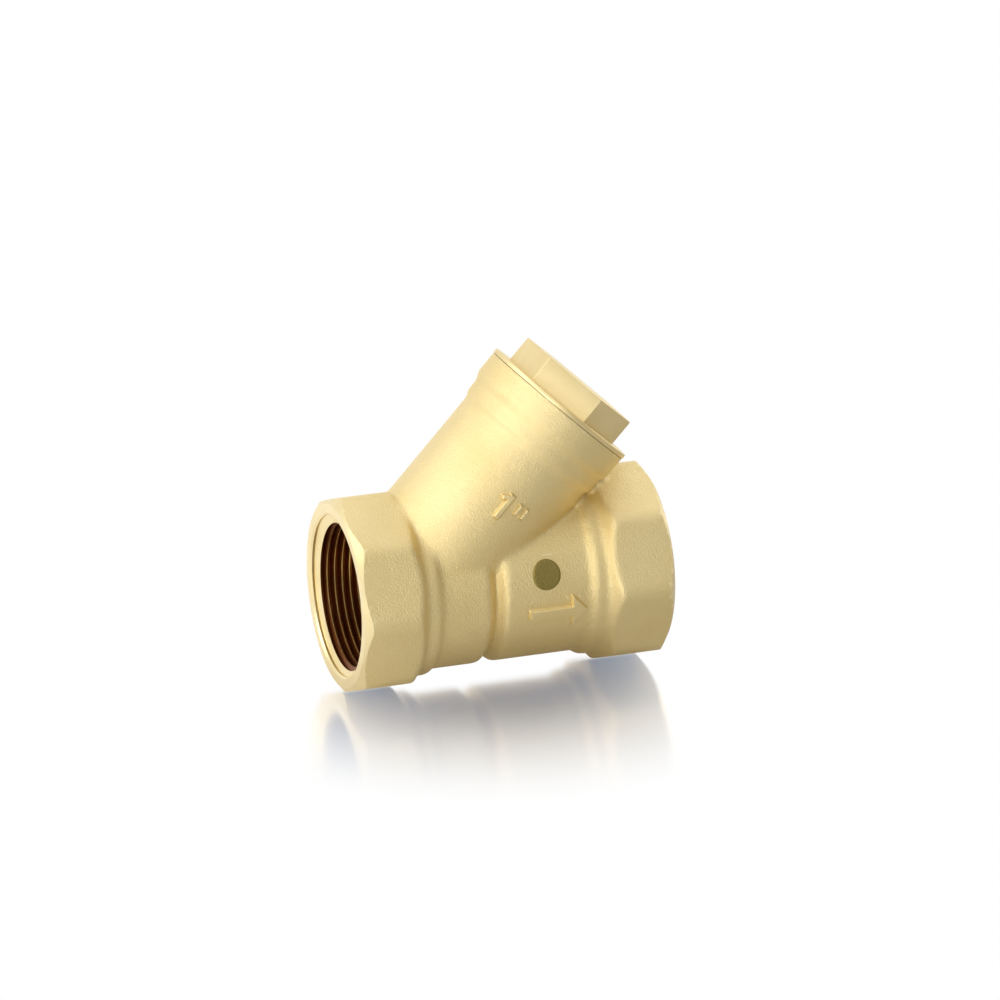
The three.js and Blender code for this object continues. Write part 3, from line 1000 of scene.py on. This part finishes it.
def pad_mask(nodes, links, vector):
    """One on the small round pad on the front of the run and on its slanted side, nought elsewhere."""
    parts = nodes.new("ShaderNodeSeparateXYZ")
    links.new(vector, parts.inputs[0])
    across = math_node(nodes, links, "SUBTRACT", parts.outputs["X"], PAD_CENTRE.x * MM)
    up = math_node(nodes, links, "SUBTRACT", parts.outputs["Z"], PAD_CENTRE.y * MM)
    squares = [math_node(nodes, links, "MULTIPLY", value, value) for value in (across, up)]
    distance = math_node(nodes, links, "SQRT", math_node(nodes, links, "ADD", *squares))
    disc = ramp_node(nodes, links, distance, (PAD_RADIUS + 0.05) * MM, (PAD_RADIUS + 0.25) * MM, 1.0, 0.0)
    front = math_node(nodes, links, "LESS_THAN", parts.outputs["Y"], 0.0)
    return math_node(nodes, links, "MULTIPLY", disc, front)


def forged_brass():
    material, nodes, links, shader, spot = new_material("forged_brass", 0.46)
    patina = use_group(nodes, links, PATINA, spot, Fresh=BRASS_FRESH, Dull=BRASS_DULL, Amount=0.45)
    # edge mask: handling wear and painted highlight; hollow mask: painted shade
    edge_and_hollow_masks = use_group(nodes, links, WEAR_AND_PAINTED_LIGHT, spot, Reach=0.09)
    grain = use_group(nodes, links, GRAIN, spot, Grain=3100.0, Ripple=700.0, Ripple_Share=0.3)
    pad = pad_mask(nodes, links, spot)
    # painted shade: hollows and creases darkened
    colour = mix_colour(nodes, links, edge_and_hollow_masks.outputs["Hollow"], patina.outputs["Colour"], PAINTED_CREASE_SHADE)
    # proud edges lightened, partly as handling wear and partly as painted highlight
    colour = mix_colour(nodes, links, edge_and_hollow_masks.outputs["Edge"], colour, EDGE_WEAR_AND_HIGHLIGHT)
    colour = mix_colour(nodes, links, pad, colour, PAD_COLOUR)
    links.new(colour, shader.inputs["Base Color"])
    dulled = math_node(nodes, links, "MULTIPLY", patina.outputs["Mask"], 0.14)
    rubbed = math_node(nodes, links, "MULTIPLY", edge_and_hollow_masks.outputs["Edge"], -0.1)
    roughness = math_node(nodes, links, "ADD", math_node(nodes, links, "ADD", dulled, rubbed), 0.44)
    links.new(roughness, shader.inputs["Roughness"])
    add_bump(nodes, links, shader, grain.outputs["Height"], 1.0, 0.0002)
    return material


def turned_brass(name, lines, on_branch_axis, fresh, dull, roughness):
    material, nodes, links, shader, spot = new_material(name, roughness)
    patina = use_group(nodes, links, PATINA, spot, Fresh=fresh, Dull=dull, Cloud=110.0, Amount=0.5)
    links.new(patina.outputs["Colour"], shader.inputs["Base Color"])
    axis = axis_vector(nodes, links, spot, on_branch_axis)
    marks = use_group(nodes, links, TOOL_LINES, axis, Lines=lines)
    grain = use_group(nodes, links, GRAIN, spot, Grain=3800.0, Ripple=500.0, Ripple_Share=0.3)
    faint = math_node(nodes, links, "MULTIPLY", grain.outputs["Height"], 0.35)
    height = math_node(nodes, links, "ADD", marks.outputs["Height"], faint)
    spread = math_node(nodes, links, "MULTIPLY", marks.outputs["Height"], 0.12)
    links.new(math_node(nodes, links, "ADD", spread, roughness - 0.06), shader.inputs["Roughness"])
    add_bump(nodes, links, shader, height, 0.35, 0.00004)
    return material


def gasket_fibre():
    material, nodes, links, shader, spot = new_material("gasket_fibre", 0.8, metallic=0.0)
    patina = use_group(
        nodes, links, PATINA, spot,
        Fresh=FIBRE_FRESH, Dull=FIBRE_DULL, Cloud=300.0, Speck=3200.0, Amount=0.8,
    )
    links.new(patina.outputs["Colour"], shader.inputs["Base Color"])
    grain = use_group(nodes, links, GRAIN, spot, Grain=4200.0, Ripple=900.0, Ripple_Share=0.6)
    add_bump(nodes, links, shader, grain.outputs["Height"], 0.6, 0.00006)
    return material


def stainless(name, roughness, lines):
    material, nodes, links, shader, spot = new_material(name, roughness)
    patina = use_group(
        nodes, links, PATINA, spot,
        Fresh=STEEL_FRESH, Dull=STEEL_DULL, Cloud=140.0, Speck=2400.0, Amount=0.55,
    )
    links.new(patina.outputs["Colour"], shader.inputs["Base Color"])
    axis = axis_vector(nodes, links, spot, True)
    marks = use_group(nodes, links, TOOL_LINES, axis, Lines=lines)
    spread = math_node(nodes, links, "MULTIPLY", marks.outputs["Height"], 0.15)
    links.new(math_node(nodes, links, "ADD", spread, roughness - 0.07), shader.inputs["Roughness"])
    add_bump(nodes, links, shader, marks.outputs["Height"], 0.25, 0.00003)
    return material


# ---------------------------------------------------------------------------------------------
# Finishing a piece

def settle(piece, body, node, slot, *materials):
    """Brings a finished piece to metres, gives it its materials and hangs it on the frame."""
    piece.data.transform(Matrix.Scale(MM, 4))
    for index, material in enumerate(materials):
        piece.data.materials[index] = material
    while len(piece.data.materials) > len(materials):
        piece.data.materials.pop(index=len(piece.data.materials) - 1)
    piece.data.shade_smooth()
    piece.data.set_sharp_from_angle(angle=radians(SHARP_ANGLE))
    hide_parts(node)
    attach(piece, body)
    return piece


forged = forged_brass()
run_turned = turned_brass("turned_run_brass", 5200.0, False, RUN_FRESH, RUN_DULL, 0.34)
cap_turned = turned_brass("turned_cap_brass", 6400.0, True, CAP_FRESH, CAP_DULL, 0.42)
# pipe thread flanks and roots painted dark as shade in the grooves
thread_painted_shade = turned_brass("thread_painted_shade", 5200.0, False, THREAD_SHADE_FRESH, THREAD_SHADE_DULL, 0.36)
cap_thread = turned_brass("cap_thread_brass", 5200.0, True, SCREW_FRESH, SCREW_DULL, 0.28)
steel = stainless("ring_steel", 0.34, 4200.0)
wire = stainless("wire_steel", 0.38, 2600.0)

settle(make_body(), "housing", "body", "forged_brass", forged, run_turned, thread_painted_shade)
settle(make_cap(), "cap", "cap", "turned_brass", cap_turned, cap_turned, cap_thread)
settle(make_gasket(), "cap_seal", "cap_gasket", "gasket_fibre", gasket_fibre())
settle(make_tube(), "screen", "screen_support_tube", "screen_steel", steel)
settle(make_sleeve(), "screen", "screen_mesh_sleeve", "screen_mesh", wire)
settle(make_ring("screen_foot_ring", SCREEN_FOOT, 1), "screen", "screen_bottom_ring", "screen_steel", steel)
settle(make_ring("screen_head_ring", SCREEN_TOP, -1), "screen", "screen_top_ring", "screen_steel", steel)


# ---------------------------------------------------------------------------------------------
# Floor, light and camera

FLOOR_GAP = 0.0001
FLOOR_SIZE = 8.0
FLOOR_DARK = (0.50, 0.49, 0.47, 1)
FLOOR_BRIGHT = (0.92, 0.92, 0.92, 1)
FLOOR_TURN = 1.2               # how far the floor's bright side is turned towards the part's left
FLOOR_DARK_END, FLOOR_BRIGHT_END = -0.16, 0.10
FLOOR_WHITE = 1.03             # reflection and glow together
REFLECTION = (0.93, 0.87, 0.78, 1)
REFLECTION_ROUGHNESS = 0.17
REFLECTION_FULL, REFLECTION_REACH = 0.012, 0.074
CAMERA_AZIMUTH = 19.25         # degrees round from straight in front, towards the inlet
CAMERA_ELEVATION = 20.19
CAMERA_ROLL = -0.38
CAMERA_DISTANCE = 1.4468
CAMERA_AIM = Vector((0.03656, 0.00078, 0.01629))
LENS = 250
SENSOR = 36
STUDIO_LEFT, STUDIO_RIGHT, STUDIO_BACK, STUDIO_TOP = 0.72, 0.38, 1.03, 1.08
LIGHT_AIM = Vector((0.034, 0, 0.014))
SOFTBOXES = (                  # name, place, width, height, watts
    ("key", (-0.60, 0.05, 0.50), 0.55, 0.55, 1.85),
    ("left_wall", (-0.62, -0.55, 0.10), 0.22, 0.40, 2.2),
    ("front_fill", (-0.30, -0.95, 0.42), 0.4, 0.4, 0.8),
    ("far_edge", (0.62, 0.25, 0.25), 0.14, 0.6, 0.9),
)


def floor_look():
    """To the camera the floor is white, with a reflection that fades away from the part. The part itself
    sees a plain floor, brighter to its left and behind it than in front."""
    material = bpy.data.materials.new("pale_floor")
    material.use_nodes = True
    nodes, links = material.node_tree.nodes, material.node_tree.links
    nodes.remove(nodes["Principled BSDF"])
    parts = nodes.new("ShaderNodeSeparateXYZ")
    links.new(nodes.new("ShaderNodeTexCoord").outputs["Object"], parts.inputs[0])

    turned = math_node(nodes, links, "MULTIPLY", parts.outputs["X"], FLOOR_TURN)
    slant = math_node(nodes, links, "SUBTRACT", parts.outputs["Y"], turned)
    level = ramp_node(nodes, links, slant, FLOOR_DARK_END, FLOOR_BRIGHT_END)
    matt = nodes.new("ShaderNodeBsdfDiffuse")
    links.new(mix_colour(nodes, links, level, FLOOR_DARK, FLOOR_BRIGHT), matt.inputs["Color"])

    middle = (cad_box[0] + cad_box[1]) / 2
    away = [
        math_node(nodes, links, "SUBTRACT", parts.outputs[label], value)
        for label, value in (("X", middle.x), ("Y", middle.y))
    ]
    squares = [math_node(nodes, links, "MULTIPLY", value, value) for value in away]
    distance = math_node(nodes, links, "SQRT", math_node(nodes, links, "ADD", *squares))
    near = ramp_node(nodes, links, distance, REFLECTION_FULL, REFLECTION_REACH, 1.0, 0.0)
    gloss = nodes.new("ShaderNodeBsdfGlossy")
    gloss.inputs["Roughness"].default_value = REFLECTION_ROUGHNESS
    links.new(mix_colour(nodes, links, near, (0, 0, 0, 1), REFLECTION), gloss.inputs["Color"])
    rest = nodes.new("ShaderNodeEmission")
    remainder = tuple(FLOOR_WHITE - share for share in REFLECTION[:3]) + (1,)
    links.new(mix_colour(nodes, links, near, (1, 1, 1, 1), remainder), rest.inputs["Color"])
    both = nodes.new("ShaderNodeAddShader")
    links.new(rest.outputs[0], both.inputs[0])
    links.new(gloss.outputs[0], both.inputs[1])

    mix = nodes.new("ShaderNodeMixShader")
    links.new(nodes.new("ShaderNodeLightPath").outputs["Is Camera Ray"], mix.inputs["Fac"])
    links.new(matt.outputs[0], mix.inputs[1])
    links.new(both.outputs[0], mix.inputs[2])
    links.new(mix.outputs[0], nodes["Material Output"].inputs["Surface"])
    return material


def make_floor():
    bm = bmesh.new()
    bmesh.ops.create_grid(bm, x_segments=4, y_segments=4, size=FLOOR_SIZE / 2)
    bmesh.ops.translate(bm, verts=bm.verts[:], vec=(0, 0, cad_box[0][2] - FLOOR_GAP))
    floor = bpy.data.objects.new("floor", bpy.data.meshes.new("floor"))
    bpy.context.scene.collection.objects.link(floor)
    bm.to_mesh(floor.data)
    bm.free()
    floor.data.materials.append(floor_look())


def add_softbox(name, position, width, height, power):
    light = bpy.data.lights.new(name, "AREA")
    light.shape = "RECTANGLE"
    light.size = width
    light.size_y = height
    light.energy = power
    lamp = bpy.data.objects.new(name, light)
    bpy.context.scene.collection.objects.link(lamp)
    lamp.location = position
    lamp.rotation_euler = (LIGHT_AIM - Vector(position)).to_track_quat("-Z", "Y").to_euler()


def make_world():
    """Studio walls: bright overhead and behind the part, greyer in front of it, white to the eye."""
    world = bpy.data.worlds.new("studio")
    bpy.context.scene.world = world
    world.use_nodes = True
    nodes, links = world.node_tree.nodes, world.node_tree.links
    parts = nodes.new("ShaderNodeSeparateXYZ")
    links.new(nodes.new("ShaderNodeTexCoord").outputs["Generated"], parts.inputs[0])
    front = ramp_node(nodes, links, parts.outputs["X"], -0.8, 0.6, STUDIO_LEFT, STUDIO_RIGHT)
    behind = ramp_node(nodes, links, parts.outputs["Y"], -0.1, 0.75, front, STUDIO_BACK)
    strength = ramp_node(nodes, links, parts.outputs["Z"], 0.45, 0.95, behind, STUDIO_TOP)
    walls = nodes["Background"]
    walls.inputs["Color"].default_value = (0.98, 0.985, 1.0, 1)
    links.new(strength, walls.inputs["Strength"])
    white = nodes.new("ShaderNodeBackground")
    mix = nodes.new("ShaderNodeMixShader")
    white.inputs["Color"].default_value = (1, 1, 1, 1)
    links.new(nodes.new("ShaderNodeLightPath").outputs["Is Camera Ray"], mix.inputs["Fac"])
    links.new(walls.outputs[0], mix.inputs[1])
    links.new(white.outputs[0], mix.inputs[2])
    links.new(mix.outputs[0], nodes["World Output"].inputs["Surface"])


def make_camera():
    camera = bpy.data.cameras.new("camera")
    camera.lens = LENS
    camera.sensor_width = SENSOR
    camera.clip_end = 20
    holder = bpy.data.objects.new("camera", camera)
    bpy.context.scene.collection.objects.link(holder)
    azimuth, elevation = radians(CAMERA_AZIMUTH), radians(CAMERA_ELEVATION)
    towards = Vector((-sin(azimuth) * cos(elevation), -cos(azimuth) * cos(elevation), sin(elevation)))
    turn = towards.to_track_quat("Z", "Y").to_matrix() @ Matrix.Rotation(radians(CAMERA_ROLL), 3, "Z")
    holder.rotation_euler = turn.to_euler()
    holder.location = CAMERA_AIM + towards * CAMERA_DISTANCE
    bpy.context.scene.camera = holder


make_floor()
make_world()
make_camera()
for softbox in SOFTBOXES:
    add_softbox(*softbox)
bpy.context.scene.view_settings.view_transform = "Standard"
